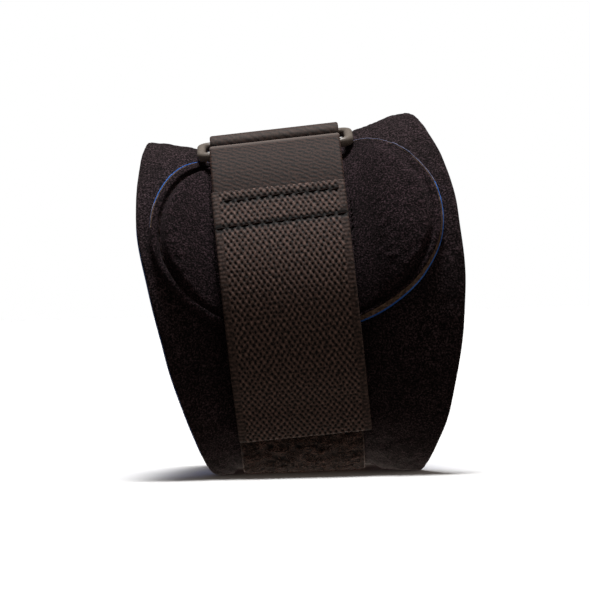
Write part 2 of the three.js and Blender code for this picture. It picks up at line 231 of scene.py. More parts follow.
def blend(material, share, first, second):
    """A share of the second colour over the first."""
    colours = {FACTOR: share, FIRST: first, SECOND: second}
    return add(material, "Mix", colours, data_type="RGBA").outputs[MIXED]


def spread(material, value, low, high, start=0.0, end=1.0):
    """From start, at a low value, evenly to end, at a high one."""
    ends = {"From Min": low, "From Max": high, "To Min": start, "To Max": end}
    return add(material, "MapRange", {"Value": value, **ends})


def maths(material, operation, *values):
    return add(material, "Math", dict(enumerate(values)), operation=operation)


def surface(material, inputs):
    """Ends a material in one shader."""
    add(material, "OutputMaterial", {"Surface": add(material, "BsdfPrincipled", inputs)})


KNIT_MOTTLE, KNIT_WEAR = 2.6, 16.0  # widths of the clumps and of the worn patches
TIP_POWER = 1.7  # makes the light tips fewer than the dark between them


def brushed_knit(name, deep, raised, grain):
    """Brushed nylon knit: short broken loops, light at their tips and near black between them."""
    material = new_material(name)
    place = add(material, "TexCoord").outputs["Object"]
    nap = add(
        material,
        "TexNoise",
        {"Vector": place, "Scale": 1000 / grain, "Detail": 2.0, "Roughness": 0.65},
    )
    clumps = add(material, "TexNoise", {"Vector": place, "Scale": 1000 / KNIT_MOTTLE, "Detail": 1.0})
    wear_and_painted_light = add(material, "TexNoise", {"Vector": place, "Scale": 1000 / KNIT_WEAR, "Detail": 1.0})
    tall = spread(material, nap, 0.4, 0.7)
    tips = maths(material, "POWER", tall, TIP_POWER)
    uneven = maths(material, "ADD", clumps, wear_and_painted_light)
    patches = spread(material, uneven, 0.75, 1.25, 0.6, 1.0)
    share = maths(material, "MULTIPLY", tips, patches)
    tint = blend(material, share, colour(deep), colour(raised))
    bump = add(material, "Bump", {"Height": nap, "Strength": 0.7, "Distance": 0.0005})
    surface(
        material,
        {
            "Base Color": tint,
            "Roughness": 0.95,
            "Specular IOR Level": 0.12,
            "Sheen Weight": 0.04,
            "Sheen Roughness": 0.5,
            "Sheen Tint": colour("#a8989a"),
            "Normal": bump,
        },
    )
    return material


sleeve_knit = brushed_knit("brushed_nylon_knit", "#0c0808", "#614f54", 0.5)

# Cut neoprene foam: a matte brown with fine open cells, drawn three times too coarse so that they show.
FOAM_CELL, FOAM_FLECK = 0.5, 0.9
foam_edge = new_material("cut_neoprene_foam")
place = add(foam_edge, "TexCoord").outputs["Object"]
cells = add(foam_edge, "TexVoronoi", {"Vector": place, "Scale": 1000 / FOAM_CELL})
fleck = add(foam_edge, "TexNoise", {"Vector": place, "Scale": 1000 / FOAM_FLECK, "Detail": 2.0})
flecked = spread(foam_edge, fleck, 0.35, 0.65)
tint = blend(foam_edge, flecked, colour("#44352b"), colour("#7c6656"))
bump = add(foam_edge, "Bump", {"Height": cells, "Strength": 0.6, "Distance": 0.0003})
surface(foam_edge, {"Base Color": tint, "Roughness": 0.9, "Specular IOR Level": 0.2, "Normal": bump})

# Nylon jersey bonded to the foam: royal blue, with the fine ribs of a plain knit.
JERSEY_RIB, JERSEY_FADE = 0.7, 9.0


def nylon_jersey(name, deep, raised):
    material = new_material(name)
    place = add(material, "TexCoord").outputs["Object"]
    ribs = add(material, "TexNoise", {"Vector": place, "Scale": 1000 / JERSEY_RIB, "Detail": 2.0})
    faded = add(material, "TexNoise", {"Vector": place, "Scale": 1000 / JERSEY_FADE})
    both = maths(material, "MULTIPLY", ribs, faded)
    share = spread(material, both, 0.12, 0.4)
    tint = blend(material, share, colour(deep), colour(raised))
    bump = add(material, "Bump", {"Height": ribs, "Strength": 0.5, "Distance": 0.0002})
    surface(
        material,
        {
            "Base Color": tint,
            "Roughness": 0.8,
            "Specular IOR Level": 0.3,
            "Sheen Weight": 0.08,
            "Sheen Tint": colour("#9fb4ee"),
            "Normal": bump,
        },
    )
    return material


jersey = nylon_jersey("blue_nylon_jersey", "#2057b0", "#4a8ef0")
# The same jersey greyed and flecked pale: painted shade and painted highlights, for the pad's upper
# arcs
painted_light_jersey = nylon_jersey("nylon_jersey_painted_light", "#3f4258", "#8d8fae")

ROUND_STEPS = 432
LEFT_STEPS, CHANNEL_STEPS, RIGHT_STEPS, INNER_STEPS = 30, 26, 40, 26
RIM_ROUND = 0.9
KNIT, FOAM, LINING, PAINTED_LINING = 0, 1, 2, 3  # layers of the laminate, and the lining with painted highlight flecks and painted shade
# The cut edge, from the outer face to the lining: distance in from the edge, share of the wall, layer
CUT_EDGE = [
    (0.4, 0.02, KNIT),
    (0.1, 0.08, KNIT),
    (0.0, 0.16, KNIT),
    (0.1, 0.19, FOAM),
    (0.16, 0.4, FOAM),
    (0.16, 0.6, FOAM),
    (0.16, 0.8, FOAM),
    (0.1, 0.84, LINING),
    (0.12, 0.92, LINING),
    (0.4, 0.98, LINING),
]
KNIT_SHARE = 0.17  # of the wall
LEFT_LINING_OUT = 0.22  # by which the lining stands out of the left edge

turn = np.linspace(0, -2 * math.pi, ROUND_STEPS, endpoint=False)[:, None]
wander = EDGE_WANDER * np.hstack([fuzz(ROUND_STEPS, 1, EDGE_BLUR, True) for _ in range(2)])
left = round_table(LEFT_EDGE, turn) + wander[:, :1]
right = round_table(RIGHT_EDGE, turn) + wander[:, 1:]
middle = strap_line(turn)
half = strap_half(turn) + CHANNEL_CLEAR


def between(start, end, steps, last):
    return start + (end - start) * np.linspace(0, 1, steps + last, endpoint=bool(last))[None, :]


outer = np.hstack(
    [
        between(left + RIM_ROUND, middle - half, LEFT_STEPS, 0),
        between(middle - half, middle + half, CHANNEL_STEPS, 0),
        between(middle + half, right - RIM_ROUND, RIGHT_STEPS, 1),
    ]
)
inner = between(right - RIM_ROUND, left + RIM_ROUND, INNER_STEPS, 1)
inset, depth, layers = (np.array(column) for column in zip(*CUT_EDGE))
left_inset = (inset - LEFT_LINING_OUT * (layers == LINING))[::-1]
along = np.hstack([outer, right - inset, inner, left + left_inset])
share = np.concatenate([np.zeros(outer.shape[1]), depth, np.ones(inner.shape[1]), depth[::-1]])
wall = WALL_PRESSED + (WALL - WALL_PRESSED) * smooth(np.abs(along - middle) - half, 0, WALL_REACH)
nap = KNIT_FUZZ * fuzz(*along.shape, FUZZ_BLUR, True)
nap = nap + KNIT_WAVE * fuzz(*along.shape, KNIT_WAVE_BLUR, True)
from_seam = ((turn - SEAM_AT + math.pi) % (2 * math.pi) - math.pi) * WAIST_RADIUS
seam = -SEAM_DIP * np.exp(-((from_seam / SEAM_DIP_WIDTH) ** 2))
height = np.where(share < KNIT_SHARE, nap + seam, 0) - share * wall
strip = [KNIT] * outer.shape[1] + [*layers[1:], LINING]
strip += [LINING] * (inner.shape[1] - 1) + [LINING, *layers[::-1][:-1], KNIT]
faces = grid_faces(*along.shape, True, True)
points = placed(over(along, turn, height))
sleeve = piece("sleeve_body", points, faces, [sleeve_knit, foam_edge, jersey], strip * ROUND_STEPS)
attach(sleeve, "root")
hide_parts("sleeve")


# Pad. An oval of the same laminate, sewn to the sleeve's front over a soft insert, so that its middle
# is domed. Its raw edge shows the blue lining, then the foam, and the seam pulls a groove inside that.
PAD_ALONG, PAD_ROUND = 3.1, math.radians(18.5)
# Reach of its outline from its middle, at each 15 degrees from its right end upwards
PAD_REACH = np.array(
    [41.3, 42.7, 42, 41.8, 42.3, 41.5, 41.8, 43.1, 44.4, 43.6, 42.7, 42.1]
    + [40.3, 36.3, 31.9, 28.2, 25.6, 24, 23.3, 23.7, 25, 27.5, 31.4, 36.7]
)
PAD_PRESSED = 2.4
PAD_PRESS_HALF, PAD_PRESS_REACH = 24.5, 7.0
PAD_CROWN, PAD_FOOT = 4.6, 3.9
DOME_RISE = 12.0  # distance over which the dome rises from its foot
PAD_FOOT_INSET = 4.1
PAD_SEAM_INSET, PAD_SEAM_HEIGHT = 2.5, 0.9
# From the dome's foot to the lip: distance in from the outline, height over the sleeve
PAD_GROOVE = [(3.7, 3.3), (3.3, 2.2), (2.9, 1.3), (PAD_SEAM_INSET, PAD_SEAM_HEIGHT), (2.2, 1.15)]
PAD_LIP = [(1.95, 1.8), (1.75, 2.3), (1.5, 2.5)]
# How far the seam pulls the groove in, at each 30 degrees from the pad's right end upwards
GROOVE_DEPTH = np.array([0.6, 0.15, 0.05, 0.2, 1, 1, 1, 0.9, 0.8, 0.8, 0.8, 0.8])
CUT_WIDTH, CUT_WIDTH_LOW = 0.25, 1.25  # of the raw edge, and on the lower right where it is shaved
CUT_LOW_AT, CUT_LOW_REACH = math.radians(-42), 0.55
# From the knit's cut to the lining's foot: share of the raw edge, distance out, height, height on top
# where the lining is drawn up to the lip, layer
PAD_EDGE = [
    (1.0, 0.0, 2.3, 2.45, KNIT),
    (0.8, 0.0, 2.0, 2.4, FOAM),
    (0.6, 0.0, 1.65, 2.35, FOAM),
    (0.4, 0.0, 1.25, 2.3, FOAM),
    (0.2, 0.1, 0.95, 2.3, FOAM),
    (0.0, 0.05, 0.8, 2.5, LINING),
    (0.0, 0.2, 0.55, 2.46, LINING),
    (0.0, 0.2, 0.25, 1.0, LINING),
    (0.0, 0.0, 0.03, 0.03, LINING),
]
RAGGED, RAGGED_BLUR, RAGGED_ABOVE = 0.12, 2, 2.4  # unevenness of the lining there, above a height
DRAWN_UP_FROM, DRAWN_UP_TO = -0.1, 0.3  # sines of the angle round the pad
COVERED_FROM, COVERED_TO = 168.0, 290.0  # degrees round the pad, where knit hides the raw edge
PAINTED_LINING_AT = [(18.0, 100.0), (158.0, COVERED_FROM)]  # and where the lining has painted highlight flecks and painted shade
PAD_STEPS = 440
DOME_ROWS, BASE_ROWS = 46, 14
DOME_MIDDLE, BASE_FROM = 0.02, 0.97  # shares of the way out where the rows start
PAD_FUZZ, PAD_WAVE, PAD_WAVE_BLUR = 0.07, 0.06, 10
EDGE_FUZZ = 0.3  # roughness of the foam and the lining, as a share of the knit's
CALM_MIDDLE = 0.15  # share of the way out within which the fine grid is left even


def pad_edge(angle):
    """Reach of the oval's outline from its middle, at an angle round it."""
    return round_table(PAD_REACH, angle)


def pad_point(share, inset, angle, height):
    """A point of the pad: share of the way to a line that lies some way in from the outline."""
    edge, step = pad_edge(angle), 1e-3
    slope = (pad_edge(angle + step) - pad_edge(angle - step)) / (2 * step * edge)
    reach = share * (edge - inset * np.sqrt(1 + slope**2))
    along = PAD_ALONG + reach * np.cos(angle)
    turn = PAD_ROUND + reach * np.sin(angle) / WAIST_RADIUS
    beside = np.abs(along - strap_line(turn)) - PAD_PRESS_HALF
    room = PAD_PRESSED + (height - PAD_PRESSED) * smooth(beside, 0, PAD_PRESS_REACH)
    return over(along, turn, SEAT_GAP + np.minimum(height, room))


angle = np.linspace(0, -2 * math.pi, PAD_STEPS, endpoint=False)[None, :]
from_low = (angle - CUT_LOW_AT + math.pi) % (2 * math.pi) - math.pi
cut = CUT_WIDTH + (CUT_WIDTH_LOW - CUT_WIDTH) * np.exp(-((from_low / CUT_LOW_REACH) ** 2))
drawn_up = smooth(np.sin(angle), DRAWN_UP_FROM, DRAWN_UP_TO)
ragged = RAGGED * fuzz(1, PAD_STEPS, RAGGED_BLUR, True)
even = 0 * angle
rows = []
for s in np.linspace(DOME_MIDDLE, 1, DOME_ROWS):
    short = 1 - np.minimum(1, (1 - s) * (pad_edge(angle) - PAD_FOOT_INSET) / DOME_RISE)
    rows.append((s, PAD_FOOT_INSET + even, PAD_CROWN - (PAD_CROWN - PAD_FOOT) * short**2, KNIT))
lip_inset, lip_height = PAD_LIP[-1]
pulled = round_table(GROOVE_DEPTH, angle)
for inset, height in PAD_GROOVE + PAD_LIP:
    up_slope = (inset - lip_inset) / (PAD_FOOT_INSET - lip_inset)
    unsewn = lip_height + (PAD_FOOT - lip_height) * up_slope
    rows.append((1, inset + even, unsewn + (height - unsewn) * pulled, KNIT))
rows.append((1, (cut + lip_inset) / 2, lip_height + even, KNIT))
for kept, out, height, on_top, layer in PAD_EDGE:
    torn = ragged if on_top > RAGGED_ABOVE and layer == LINING else 0
    rows.append((1, cut * kept - out, height + (on_top - height + torn) * drawn_up, layer))
base_height = PAD_EDGE[-1][2]
for s in np.linspace(BASE_FROM, DOME_MIDDLE, BASE_ROWS):
    rows.append((s, even, base_height + even, LINING))
share, layer = (np.array([row[k] for row in rows])[:, None] for k in (0, 3))
inset, height = (np.vstack([row[k] for row in rows]) for k in (1, 2))
nap = PAD_FUZZ * fuzz(len(rows), PAD_STEPS, FUZZ_BLUR, True)
nap = nap + PAD_WAVE * fuzz(len(rows), PAD_STEPS, PAD_WAVE_BLUR, True)
rough = np.where(layer == KNIT, nap, EDGE_FUZZ * nap) * np.minimum(1, share / CALM_MIDDLE)
points = placed(pad_point(share, inset, angle, height + rough))
faces = [*grid_faces(len(rows), PAD_STEPS, False, True), range(PAD_STEPS - 1, -1, -1)]
faces.append([(len(rows) - 1) * PAD_STEPS + k for k in range(PAD_STEPS)])
round_pad = np.degrees(angle) % 360
covered = (round_pad > COVERED_FROM) & (round_pad < COVERED_TO)
# The pad's upper arcs, where the lining gets its painted highlight flecks and painted shade
wear_and_painted_light = np.any([(round_pad > start) & (round_pad < end) for start, end in PAINTED_LINING_AT], 0)
cloth = np.where(covered, KNIT, layer[1:])
cloth = np.where((layer[1:] == LINING) & wear_and_painted_light, PAINTED_LINING, cloth)
which = [*cloth.ravel(), KNIT, LINING]
pad_knit = brushed_knit("brushed_nylon_knit_pad", "#0a0707", "#5c484f", 0.5)
pad = piece("pad_dome", points, faces, [pad_knit, foam_edge, jersey, painted_light_jersey], which)
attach(pad, "root")
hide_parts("pad")

# Pad seam. One row of black spun polyester thread, sewn by machine through the pad's rim and the
# sleeve, so that it pulls a groove into the rim.
THREAD = 0.24  # radius
PAD_STITCH, PAD_STITCH_GAP = 2.4, 0.5
STITCH_SINK, STITCH_RISE = 0.35, 0.45  # its ends under the cloth, and its middle over them
STITCH_ROUND = 0.6  # how full the stitch's arch is: 1 is a plain sine
END_TAPER = 0.08
ASLANT = (0.31, 0.59, 0.74)  # a direction that no thread follows
RIM_STEPS = 1440


def threads(name, lines, radius, material, sides=6):
    """Each line of points, in the sleeve's frame, is one length of thread with tapered ends."""
    ring_angles = np.linspace(0, 2 * math.pi, sides, endpoint=False)[:, None]
    count = len(lines[0])
    taper = radius * np.sqrt(np.sin(np.linspace(END_TAPER, 1 - END_TAPER, count) * math.pi))
    quads = grid_faces(count, sides, False, True)[:, ::-1]
    ends = [list(range(sides)), [(count - 1) * sides + k for k in range(sides)][::-1]]
    points, faces = [], []
    for number, line in enumerate(lines):
        ahead = unit(np.gradient(line, axis=0))
        aside = unit(np.cross(ahead, ASLANT))
        upward = np.cross(ahead, aside)
        ring = aside[:, None] * np.cos(ring_angles) + upward[:, None] * np.sin(ring_angles)
        points.append((line[:, None] + ring * taper[:, None, None]).reshape(-1, 3))
        first = number * count * sides
        faces += (quads + first).tolist() + [[first + k for k in end] for end in ends]
    return piece(name, placed(np.vstack(points)), faces, [material])


# Spun polyester sewing thread: black, with a slight gloss and the twist of its plies.
THREAD_TWIST = 0.35
black_thread = new_material("black_polyester_thread")
place = add(black_thread, "TexCoord").outputs["Object"]
twist = add(black_thread, "TexNoise", {"Vector": place, "Scale": 1000 / THREAD_TWIST, "Detail": 2.0})
tint = blend(black_thread, twist, colour("#0a0504"), colour("#2a1b17"))
bump = add(black_thread, "Bump", {"Height": twist, "Strength": 0.7, "Distance": 0.0002})
surface(
    black_thread,
    {"Base Color": tint, "Roughness": 0.8, "Specular IOR Level": 0.08, "Normal": bump},
)

STITCH_LINE = np.linspace(0, 1, 7)
stitch_rise = -STITCH_SINK + STITCH_RISE * np.sin(STITCH_LINE * math.pi) ** STITCH_ROUND
rim_steps = np.linspace(0, 2 * math.pi, RIM_STEPS)
rim = pad_point(1, PAD_SEAM_INSET, rim_steps, np.full(RIM_STEPS, PAD_SEAM_HEIGHT))
rim_length = np.concatenate([[0], np.cumsum(np.linalg.norm(np.diff(rim, axis=0), axis=1))])
lines = []
for start in np.arange(0, rim_length[-1] - PAD_STITCH, PAD_STITCH + PAD_STITCH_GAP):
    at = np.interp(start + PAD_STITCH * STITCH_LINE, rim_length, rim_steps)
    lines.append(pad_point(1, PAD_SEAM_INSET, at, PAD_SEAM_HEIGHT + stitch_rise))
pad_seam = threads("pad_seam", lines, THREAD, black_thread)
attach(pad_seam, "root")

# Sleeve seam. The cut's two ends butt together at the back, and a machine zigzag of the same black
# thread joins them edge to edge.
ZIGZAG_WIDTH, ZIGZAG_STEP = 4.6, 1.7
ZIGZAG_MARGIN, ZIGZAG_LIFT = 1.0, 0.05
seam_left = float(round_table(LEFT_EDGE, np.array(SEAM_AT))) + ZIGZAG_MARGIN
seam_right = float(round_table(RIGHT_EDGE, np.array(SEAM_AT))) - ZIGZAG_MARGIN
lines = []
for count, start in enumerate(np.arange(seam_left, seam_right - ZIGZAG_STEP, ZIGZAG_STEP)):
    side = (STITCH_LINE - 0.5) * (1 if count % 2 else -1)
    at = SEAM_AT + ZIGZAG_WIDTH * side / WAIST_RADIUS
    lines.append(over(start + ZIGZAG_STEP * STITCH_LINE, at, stitch_rise + ZIGZAG_LIFT))
sleeve_seam = threads("sleeve_seam", lines, THREAD, black_thread)
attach(sleeve_seam, "root")


# Loop. A rectangular ring with rounded bars, moulded in one piece of satin grey-brown acetal. One bar
# lies in each fold of the strap.
LOOP_BAR, LOOP_THICK, LOOP_SLOT = 2.6, 2.6, 40.2
LOOP_SIDE_SWELL = 0.1  # by which its two short sides are thicker
LOOP_SQUARENESS = 0.8  # of the bar's section: 1 is round
LOOP_CORNER, LOOP_CORNER_STEPS, LOOP_SIDES = 4.2, 13, 24
BAR_GAP = 0.4
NEAR_BAR_AT, FAR_BAR_AT = 59.3, 75.5
FAR_LIFT, FAR_LIFT_REACH = 0.6, 20.0
PAD_CLEAR = 0.65
PAD_LIFT_LEAD, PAD_LIFT_REACH = 4.0, 20.0
CHANNEL_MARGIN = 0.05
FOLD_RADIUS = LOOP_BAR / 2 + BAR_GAP + STRAP_THICK / 2


def strap_layer(degrees):
    """Height of the strap's middle where it lies on the sleeve or crosses the pad."""
    low_edge = math.degrees(PAD_ROUND - PAD_REACH.min() / WAIST_RADIUS) - PAD_LIFT_LEAD
    lift = (PAD_PRESSED + PAD_CLEAR) * smooth(degrees, low_edge - PAD_LIFT_REACH, low_edge)
    return SEAT_GAP + STRAP_THICK / 2 + lift


def tape_point(degrees, across, height):
    """A point over the strap's channel; a tape stays flat where it overhangs the channel."""
    turn = np.radians(degrees)
    flat = strap_half(turn) + CHANNEL_CLEAR - CHANNEL_MARGIN
    inside = np.clip(across, -flat, flat)
    leaning = STRAP_LEAN * np.cos(turn) * inside / WAIST_RADIUS
    point = over(strap_line(turn) + inside, turn + leaning, height)
    point[..., 0] += across - inside
    return point


NEAR_BAR_HEIGHT = float(strap_layer(NEAR_BAR_AT)) + FOLD_RADIUS
FAR_BAR_HEIGHT = SEAT_GAP + STRAP_THICK / 2 + FAR_LIFT + FOLD_RADIUS
near_bar, far_bar = (
    [tape_point(at, side * STRAP_WIDTH / 2, height) for side in (-1, 0, 1)]
    for at, height in ((NEAR_BAR_AT, NEAR_BAR_HEIGHT), (FAR_BAR_AT, FAR_BAR_HEIGHT))
)
loop_across = unit(near_bar[2] - near_bar[0] + far_bar[2] - far_bar[0])
reach = far_bar[1] - near_bar[1]
loop_up = unit(reach - loop_across * (reach @ loop_across))
loop_out = np.cross(loop_across, loop_up)
corner = LOOP_CORNER - LOOP_BAR / 2
wide, tall = (LOOP_SLOT + LOOP_BAR) / 2 - corner, np.linalg.norm(reach) / 2 - corner
ring_line, ring_out = [], []
for quarter, (sx, sy) in enumerate([(1, 1), (-1, 1), (-1, -1), (1, -1)]):
    for step in np.linspace(0, math.pi / 2, LOOP_CORNER_STEPS) + quarter * math.pi / 2:
        ring_out.append((math.cos(step), math.sin(step)))
        ring_line.append((sx * wide + corner * math.cos(step), sy * tall + corner * math.sin(step)))
ring_line, ring_out = np.array(ring_line), np.array(ring_out)
section = np.linspace(0, 2 * math.pi, LOOP_SIDES, endpoint=False)
section_x, section_z = (
    np.sign(wave) * np.abs(wave) ** LOOP_SQUARENESS for wave in (np.cos(section), np.sin(section))
)
flat = ring_line[:, None] + ring_out[:, None] * (LOOP_BAR / 2 * section_x)[None, :, None]
swell = 1 + LOOP_SIDE_SWELL * np.abs(ring_out[:, :1])
off_plane = (LOOP_THICK / 2 * swell * section_z)[..., None] * loop_out
in_plane = flat[..., :1] * loop_across + flat[..., 1:] * loop_up
points = placed((near_bar[1] + far_bar[1]) / 2 + in_plane + off_plane)
# Moulded acetal: satin grey-brown, its faint speckle from the mould's texture.
LOOP_SPECKLE = 0.6
acetal = new_material("satin_acetal")
place = add(acetal, "TexCoord").outputs["Object"]
speckle = add(acetal, "TexNoise", {"Vector": place, "Scale": 1000 / LOOP_SPECKLE, "Detail": 3.0})
roughness_and_crest_highlight = spread(acetal, speckle, 0.3, 0.7, 0.34, 0.48)
tint = blend(acetal, speckle, colour("#5a5149"), colour("#8d8379"))
bump = add(acetal, "Bump", {"Height": speckle, "Strength": 0.15, "Distance": 0.0001})
surface(acetal, {"Base Color": tint, "Roughness": roughness_and_crest_highlight, "IOR": 1.48, "Normal": bump})
loop = piece("strap_loop", points, grid_faces(len(ring_line), LOOP_SIDES, True, True), [acetal])
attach(loop, "root")
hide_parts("loop")


# Pile strap. One length of brushed loop tape with a smooth twill back. Its fixed end is folded over
# the loop's far bar and sewn down; the tape runs round the sleeve, pile outwards, comes up through the
# loop, folds over the near bar and ends under the hook tab with its twill outwards.
FLAP_END_AT, FLAP_DOWN_AT = 120.0, 94.0
STRAP_END_AT, STRAP_DOWN_AT = 27.2, 25.2
STRAP_STEP = 0.7  # degrees, about 0.6 mm
FOLD_STEPS = 14
FACE, BACK, EDGE = 0, 1, 2  # a tape's cloths
TAPE_EDGE = 0.6  # rounding of a tape's edge
TAPE_RIM = [0, 0.06, 0.18, 0.36, TAPE_EDGE]  # columns on that rounding
PILE_STEP, TWILL_STEP = 0.6, 1.2  # columns across each face
PILE_FUZZ, PILE_CLUMP, CLUMP_BLUR = 0.13, 0.06, 3


def upper_layer(degrees):
    down = smooth(degrees, STRAP_DOWN_AT, NEAR_BAR_AT)
    low = strap_layer(degrees) + STRAP_THICK + GAP
    return low + (NEAR_BAR_HEIGHT + FOLD_RADIUS - low) * down


def around_layer(degrees):
    far = 1 - smooth(degrees, FAR_BAR_AT, FAR_BAR_AT + FAR_LIFT_REACH)
    return strap_layer(degrees - 360) + FAR_LIFT * far


def flap_layer(degrees):
    down = smooth(degrees, FAR_BAR_AT, FLAP_DOWN_AT)
    lying = SEAT_GAP + 1.5 * STRAP_THICK + GAP
    return (FAR_BAR_HEIGHT + FOLD_RADIUS) * (1 - down) + lying * down


def degrees_from(start, end):
    return np.linspace(start, end, math.ceil(abs(end - start) / STRAP_STEP) + 1)[:, None]


def fold(bar_at, bar_height, across, side):
    """The strap's middle from under a bar to over it."""
    turn = np.radians(bar_at)
    ahead, outward = skin_frame(strap_line(turn) + across, turn + 0 * across)
    bend = np.linspace(-math.pi / 2, math.pi / 2, FOLD_STEPS + 1)[:, None, None]
    centre = tape_point(bar_at, across, bar_height)
    return centre + FOLD_RADIUS * (side * ahead * np.cos(bend) + outward * np.sin(bend))


def strap_middle(shares):
    full = shares * STRAP_WIDTH / 2
    flap = degrees_from(FLAP_END_AT, FAR_BAR_AT)
    around = degrees_from(FAR_BAR_AT, 360 + NEAR_BAR_AT)
    upper = degrees_from(NEAR_BAR_AT, STRAP_END_AT)
    return np.vstack(
        [
            tape_point(flap, full, flap_layer(flap))[:-1],
            fold(FAR_BAR_AT, FAR_BAR_HEIGHT, full, -1)[::-1],
            tape_point(around, shares * strap_half(np.radians(around)), around_layer(around))[1:-1],
            fold(NEAR_BAR_AT, NEAR_BAR_HEIGHT, full, 1),
            tape_point(upper, full, upper_layer(upper))[1:],
        ]
    )


def tape_shares(width, step):
    """Columns across a tape, as shares of its half width, close together at its rounded edges."""
    rim = np.array(TAPE_RIM) / (width / 2)
    inside = np.linspace(-1 + rim[-1], 1 - rim[-1], round(width / step))
    return np.concatenate([rim[:-1] - 1, inside, 1 - rim[:-1][::-1]])


def tape(name, middle_of, width, thick, sides, materials):
    """A closed tape: column step and relief of its face and its back; cloth of face, back and edge."""
    sheets, patterns = [], []
    for (step, relief), side in zip(sides, (1, -1)):
        shares = tape_shares(width, step)
        middle = middle_of(shares)
        normal = unit(np.cross(np.gradient(middle, axis=1), np.gradient(middle, axis=0)))
        track = middle[:, len(shares) // 2]
        along = np.concatenate([[0], np.cumsum(np.linalg.norm(np.diff(track, axis=0), axis=1))])
        across, along = np.broadcast_arrays(shares * width / 2, along[:, None])
        past = np.clip((np.abs(across) - width / 2 + TAPE_EDGE) / TAPE_EDGE, 0, 1)
        rounded = np.sqrt(1 - past**2)
        height = relief(across, along) * rounded
        sheets.append(middle + normal * (side * (thick / 2 * rounded + height))[..., None])
        patterns.append(np.stack([across, along, height], -1))
    points, pattern = (np.hstack([face, back[:, -2:0:-1]]) for face, back in (sheets, patterns))
    rows, columns = points.shape[:2]
    edge, face = len(TAPE_RIM) - 2, sheets[0].shape[1] - 1
    strip = [EDGE] * edge + [FACE] * (face - 2 * edge) + [EDGE] * edge + [BACK] * (columns - face)
    faces = grid_faces(rows, columns, False, True).tolist()
    faces += [list(range(columns)), list(range((rows - 1) * columns, rows * columns))[::-1]]
    return piece(name, placed(points), faces, materials, strip * (rows - 1) + [EDGE, EDGE], pattern)


def pile_relief(across, along):
    fine = PILE_FUZZ * fuzz(*across.shape, FUZZ_BLUR, False)
    return fine + PILE_CLUMP * fuzz(*across.shape, CLUMP_BLUR, False)


def flat_relief(across, along):
    return np.zeros_like(across)


# Brushed loop pile: curled nylon filaments, painted shade between the curls, a painted brown highlight
# where the tips catch light.
CURL_WIDTH = 0.5
loop_pile = new_material("brushed_loop_pile")
place = add(loop_pile, "TexCoord").outputs["Object"]
curls = add(
    loop_pile,
    "TexNoise",
    {"Vector": place, "Scale": 1000 / CURL_WIDTH, "Detail": 2.0, "Roughness": 0.6, "Distortion": 1.4},
)
tape_spot = add(loop_pile, "Attribute", attribute_name="tape_mm").outputs["Vector"]
# Painted shade and highlight: the pile is darker where its relief is low and lighter where it stands
# high
tall = add(loop_pile, "SeparateXYZ", {0: tape_spot}).outputs["Z"]
lift = spread(loop_pile, tall, -0.3, 0.3)
tips = spread(loop_pile, curls, 0.48, 0.62)
share = maths(loop_pile, "MULTIPLY", lift, tips)
tint = blend(loop_pile, share, colour("#0b0706"), colour("#84665c"))
bump = add(loop_pile, "Bump", {"Height": curls, "Strength": 0.9, "Distance": 0.0006})
surface(
    loop_pile,
    {
        "Base Color": tint,
        "Roughness": 0.95,
        "Specular IOR Level": 0.12,
        "Sheen Weight": 0.04,
        "Sheen Roughness": 0.5,
        "Sheen Tint": colour("#b0a29a"),
        "Normal": bump,
    },
)

# Nylon twill back: fine slanting lines, broken and uneven, over the rows of its weft.
TWILL_ACROSS, TWILL_DOWN = 2.74, 1.6  # the slanting lines' spacing along each of the tape's directions
WEFT_ROW = 1.41
TWILL_WOBBLE, TWILL_BREAK, TWILL_YARN = 3.0, 1.3, 0.6  # widths of the unevenness
# Painted highlight along the fold over each bar: how light it is, and how far from the fold's crest
NEAR_CREST_HIGHLIGHT, NEAR_HIGHLIGHT_REACH = 0.8, 2.0
FAR_CREST_HIGHLIGHT, FAR_HIGHLIGHT_REACH = 0.2, 4.0
CREST_STEPS = 2  # of a fold, from its upper end to its crest
WEFT_SHARE, YARN_SHARE = 0.25, 3.0  # strength of the weft and of each yarn's shade, to the lines' 1
strap_track = strap_middle(np.array([0.0]))[:, 0]
strap_length = np.concatenate([[0], np.cumsum(np.linalg.norm(np.diff(strap_track, axis=0), axis=1))])
near_crest = float(strap_length[-len(degrees_from(NEAR_BAR_AT, STRAP_END_AT)) - CREST_STEPS])
far_crest = float(strap_length[len(degrees_from(FLAP_END_AT, FAR_BAR_AT)) + CREST_STEPS])
twill = new_material("nylon_twill")
tape_spot = add(twill, "Attribute", attribute_name="tape_mm").outputs["Vector"]
wobble = add(twill, "TexNoise", {"Vector": tape_spot, "Scale": 1 / TWILL_WOBBLE, "Detail": 1.0})
breaks = add(twill, "TexNoise", {"Vector": tape_spot, "Scale": 1 / TWILL_BREAK, "Detail": 1.0})
broke = spread(twill, breaks, 0.35, 0.65)
yarn = add(twill, "TexNoise", {"Vector": tape_spot, "Scale": 1 / TWILL_YARN, "Detail": 1.0})
parts = add(twill, "SeparateXYZ", {0: tape_spot}).outputs
down = maths(twill, "MULTIPLY_ADD", parts["Y"], -1 / TWILL_DOWN, wobble)
slant = maths(twill, "MULTIPLY_ADD", parts["X"], 1 / TWILL_ACROSS, down)
slant_turn = maths(twill, "MULTIPLY", slant, 2 * math.pi)
slant_wave = maths(twill, "SINE", slant_turn)
weft = maths(twill, "MULTIPLY_ADD", parts["Y"], 1 / WEFT_ROW, wobble)
weft_turn = maths(twill, "MULTIPLY", weft, 2 * math.pi)
weft_wave = maths(twill, "SINE", weft_turn)
broken = maths(twill, "MULTIPLY", slant_wave, broke)
woven = maths(twill, "MULTIPLY_ADD", weft_wave, WEFT_SHARE, broken)
shaded = maths(twill, "MULTIPLY_ADD", yarn, YARN_SHARE, woven)
share = spread(twill, shaded, 0.9, 2.1)
